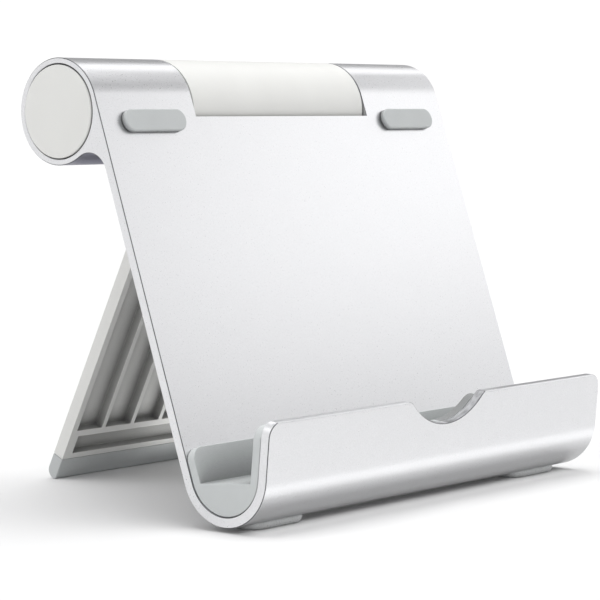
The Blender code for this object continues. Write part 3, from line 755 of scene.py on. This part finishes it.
def make_ribbed_leg(plastic):
    """Hinge barrel and plate in one section, with pockets between the ribs of its front."""
    back = LEG_FRONT - LEG_THICKNESS
    fillet_out = back - LEG_FILLET
    fillet_down = math.sqrt((BARREL_RADIUS + LEG_FILLET) ** 2 - fillet_out ** 2)
    fillet_centre = leg_point(fillet_out, fillet_down)
    front_leave = leg_point(LEG_FRONT, math.sqrt(BARREL_RADIUS ** 2 - LEG_FRONT ** 2))

    outline = [leg_point(LEG_FRONT, LEG_REACH), leg_point(back, LEG_REACH)]
    start = heading(LEG_OUT)
    sweep = clockwise(start, heading(-fillet_centre))
    outline += arc(fillet_centre, LEG_FILLET, start, sweep, 14)
    start = heading(fillet_centre)
    sweep = counter(start, heading(front_leave))
    outline += arc((0.0, 0.0), BARREL_RADIUS, start, sweep, BARREL_STEPS)[1:]
    leg = prism("ribbed_leg", outline, -LEG_HALF, LEG_HALF, section_plane())

    tools = [prism("leg_bore", open_ring(LEG_BORE, 100), -LEG_HALF - MM, LEG_HALF + MM,
                   section_plane())]
    edges = [-LEG_HALF + RIM]
    for i in range(RIB_COUNT):
        centre = (i - (RIB_COUNT - 1) / 2) * RIB_PITCH
        edges += [centre - RIB_WIDTH / 2, centre + RIB_WIDTH / 2]
    edges.append(LEG_HALF - RIM)
    pockets = [(across, (POCKET_TOP, BAR_TOP)) for across in zip(edges[::2], edges[1::2])]
    trough = (-LEG_HALF + TROUGH_RIM, LEG_HALF - TROUGH_RIM)
    pockets.append((trough, (TROUGH_TOP, TROUGH_BOTTOM)))
    depth = (LEG_FRONT - POCKET_DEPTH, LEG_FRONT + MM)
    for number, (across, down) in enumerate(pockets):
        tools.append(leg_box("pocket_%d" % number, depth, down, across))
    carve(leg, tools)
    work_edges(leg, LEG_EDGE, [plastic])
    return place(leg, "rear_leg", ["leg"])


def make_foot_strip(elastomer):
    """Soft strip along the leg's lower edge, with a sharper front and a rounder back."""
    back = LEG_FRONT - LEG_THICKNESS
    front_centre = leg_point(LEG_FRONT - STRIP_FRONT_ROUND, STRIP_END - STRIP_FRONT_ROUND)
    back_centre = leg_point(back + STRIP_BACK_ROUND, STRIP_END - STRIP_BACK_ROUND)
    out = heading(LEG_OUT)
    down = heading(LEG_DOWN)
    top = LEG_REACH + STRIP_SEAM
    outline = [leg_point(back, top), leg_point(LEG_FRONT, top)]
    outline += arc(front_centre, STRIP_FRONT_ROUND, out, counter(out, down), 10)
    outline += arc(back_centre, STRIP_BACK_ROUND, down, counter(down, heading(-LEG_OUT)), 20)
    strip = prism("foot_strip", outline, -LEG_HALF, LEG_HALF, section_plane())
    work_edges(strip, STRIP_EDGE, [elastomer], segments=3)
    return place(strip, "rear_leg", ["leg_foot"])


def finish_hinge_hardware():
    """The pieces inside the barrel keep their CAD shapes; those not named here are turned steel."""
    zinc = hinge_metal("zinc_casting", (0.50, 0.51, 0.53), 0.45, grain=0.4, depth=0.02)
    steel = hinge_metal("turned_steel", (0.60, 0.61, 0.62), 0.30, grain=0.2,
                        stretch=(6.0, 1.0, 1.0))
    spring = hinge_metal("spring_steel", (0.33, 0.34, 0.37), 0.32, grain=0.2,
                         stretch=(1.0, 1.0, 5.0))
    bronze = hinge_metal("sintered_bronze", (0.55, 0.37, 0.19), 0.42, grain=0.3, depth=0.015)
    nylon = hinge_metal("moulded_nylon", (0.035, 0.035, 0.038), 0.5, grain=0.3, metallic=0.0)
    finishes = {"hub": zinc, "core_sleeve": nylon, "friction_disc": bronze, "disc_spring": spring}
    for name in sorted(frame["record"]["physics"]["no_collision_nodes"]):
        finish = next((found for start, found in finishes.items() if name.startswith(start)), steel)
        node = NODES[name]
        node.data.materials.clear()
        node.data.materials.append(finish)


# ---- studio ----------------------------------------------------------------------------------
FLOOR_HALF = 12.0                   # half the floor's side, in metres
STRIP_HEIGHT = 0.0015               # the front strip lies this far above the floor
BOUNCE_HEIGHT = 0.0016              # and the two lights below the stand this far

CAMERA_YAW = 0.876                  # radians, from +Y towards +X
CAMERA_PITCH = 0.0769               # radians below the horizontal
CAMERA_ROLL = -0.0018
CAMERA_OFFSET = Vector((-0.464323, -0.405198, 0.00003))     # from the middle of the hinge axis
CAMERA_LENS = 147.184
CAMERA_SENSOR = 36.0


def make_floor():
    work = bmesh.new()
    bmesh.ops.create_grid(work, x_segments=8, y_segments=8, size=FLOOR_HALF)
    floor = add_object("studio_floor", mesh_from(work, "studio_floor"))
    floor.data.materials.append(floor_white())


def far_softbox(name, azimuth, elevation, spread, strength):
    """A round soft light at a great distance; azimuth 0 is the right, 90 the back."""
    lamp = bpy.data.lights.new(name, "SUN")
    lamp.angle = math.radians(spread)
    lamp.energy = strength
    a = math.radians(azimuth)
    e = math.radians(elevation)
    towards = Vector((math.cos(a) * math.cos(e), math.sin(a) * math.cos(e), math.sin(e)))
    obj = bpy.data.objects.new(name, lamp)
    obj.rotation_euler = towards.to_track_quat("Z", "Y").to_euler()
    bpy.context.scene.collection.objects.link(obj)


def near_softbox(name, spot, target, size, radiance, glossy=True):
    """A rectangular soft light near the object, hidden from the camera.
    Without glossy it also stays out of reflections."""
    lamp = bpy.data.lights.new(name, "AREA")
    lamp.shape = "RECTANGLE"
    lamp.size, lamp.size_y = size
    lamp.energy = radiance * math.pi * size[0] * size[1]
    obj = bpy.data.objects.new(name, lamp)
    obj.location = spot
    obj.rotation_euler = (Vector(spot) - Vector(target)).to_track_quat("Z", "Y").to_euler()
    obj.visible_camera = False
    obj.visible_glossy = glossy
    bpy.context.scene.collection.objects.link(obj)


def make_lights():
    far_softbox("overhead", azimuth=-40.0, elevation=78.2, spread=60.0, strength=2.33)
    far_softbox("right_front", azimuth=-5.4, elevation=8.0, spread=59.0, strength=0.68)
    far_softbox("right_high", azimuth=20.0, elevation=37.0, spread=16.0, strength=0.092)
    far_softbox("left_back", azimuth=143.0, elevation=28.0, spread=64.0, strength=0.62)
    far_softbox("left_top", azimuth=165.0, elevation=60.0, spread=60.0, strength=0.55)
    far_softbox("camera_side", azimuth=225.0, elevation=22.0, spread=50.0, strength=0.30)

    middle = Vector((0.0, AXIS.y - 0.02, AXIS.z * 0.75))
    near_softbox("front_softbox", (0.89, -0.668, 0.547), middle, size=(0.50, 0.35), radiance=0.91)

    # Low lights: a strip shining up in front of the tray, one down onto the floor below the
    # tray, and one up into the hollow behind the panel.
    up = Vector((0.0, 0.0, 1.0))
    strip = Vector((0.04, CAD_BOX[0][1] - 0.008, STRIP_HEIGHT))
    near_softbox("low_strip", strip, strip + up, size=(0.29, 0.010), radiance=0.38)
    bounce = Vector((0.0, TRAY_Y - 0.003, BOUNCE_HEIGHT))
    near_softbox("tray_bounce", bounce, bounce - up, size=(0.126, 0.012), radiance=0.45)
    tent = Vector((0.03, 0.033, BOUNCE_HEIGHT))
    near_softbox("tent_fill", tent, tent + up, size=(0.06, 0.012), radiance=3.0, glossy=False)


def make_world():
    """A dim even surround that lights the object, and plain white behind it for the camera."""
    world = bpy.data.worlds.new("studio")
    world.use_nodes = True
    tree = world.node_tree
    tree.nodes.clear()
    output = tree.nodes.new("ShaderNodeOutputWorld")
    mix = tree.nodes.new("ShaderNodeMixShader")
    path = tree.nodes.new("ShaderNodeLightPath")
    surround = tree.nodes.new("ShaderNodeBackground")
    white = tree.nodes.new("ShaderNodeBackground")
    surround.inputs["Color"].default_value = (0.33, 0.33, 0.335, 1.0)
    white.inputs["Color"].default_value = (1.0, 1.0, 1.0, 1.0)
    white.inputs["Strength"].default_value = 1.05
    tree.links.new(path.outputs["Is Camera Ray"], mix.inputs["Fac"])
    tree.links.new(surround.outputs["Background"], mix.inputs[1])
    tree.links.new(white.outputs["Background"], mix.inputs[2])
    tree.links.new(mix.outputs["Shader"], output.inputs["Surface"])
    bpy.context.scene.world = world


def make_camera():
    level_reach = math.cos(CAMERA_PITCH)
    forward = Vector((math.sin(CAMERA_YAW) * level_reach, math.cos(CAMERA_YAW) * level_reach,
                      -math.sin(CAMERA_PITCH)))
    level = Vector((math.cos(CAMERA_YAW), -math.sin(CAMERA_YAW), 0.0))
    upright = level.cross(forward)
    right = level * math.cos(CAMERA_ROLL) + upright * math.sin(CAMERA_ROLL)
    up = upright * math.cos(CAMERA_ROLL) - level * math.sin(CAMERA_ROLL)
    spot = AXIS + CAMERA_OFFSET
    lens = bpy.data.cameras.new("camera")
    lens.sensor_width = CAMERA_SENSOR
    lens.lens = CAMERA_LENS
    lens.clip_start = 0.01
    lens.clip_end = 100.0
    camera = bpy.data.objects.new("camera", lens)
    camera.matrix_world = Matrix(((right.x, up.x, -forward.x, spot.x),
                                  (right.y, up.y, -forward.y, spot.y),
                                  (right.z, up.z, -forward.z, spot.z),
                                  (0.0, 0.0, 0.0, 1.0)))
    bpy.context.scene.collection.objects.link(camera)
    bpy.context.scene.camera = camera
    bpy.context.scene.view_settings.view_transform = "Standard"


def main():
    aluminium = anodised_aluminium()
    chamfer = cut_aluminium_painted_shade()
    cap_plastic = white_plastic("white_plastic", reach=1.0 * MM, power=1.0, depth=0.15,
                                alone=False)
    leg_plastic = white_plastic("white_leg_plastic", reach=5.0 * MM, power=2.5, depth=0.22,
                                alone=True)
    elastomer = grey_elastomer("grey_elastomer", (0.490, 0.508, 0.508), reach=1.4 * MM, power=1.6)
    liner_elastomer = grey_elastomer("grey_liner_elastomer", (0.530, 0.550, 0.550),
                                     reach=12.0 * MM, power=3.2, alone=True)
    # Painted shade: the liner's cut notch face is the liner's elastomer painted darker.
    notch_elastomer_painted_shade = grey_elastomer("cut_liner_elastomer_painted_shade", (0.235, 0.240, 0.240),
                                     reach=1.4 * MM, power=1.0, alone=True)
    strip_elastomer = grey_elastomer("grey_strip_elastomer", (0.510, 0.528, 0.528),
                                     reach=1.4 * MM, power=1.0, alone=True)
    rubber = translucent_rubber()
    make_extrusion(aluminium, chamfer, milled_aluminium_painted_shade())
    make_liner(liner_elastomer, notch_elastomer_painted_shade)
    make_pads(elastomer)
    make_feet(rubber)
    make_end_caps(cap_plastic)
    make_ribbed_leg(leg_plastic)
    make_foot_strip(strip_elastomer)
    finish_hinge_hardware()
    make_floor()
    make_lights()
    make_world()
    make_camera()


main()
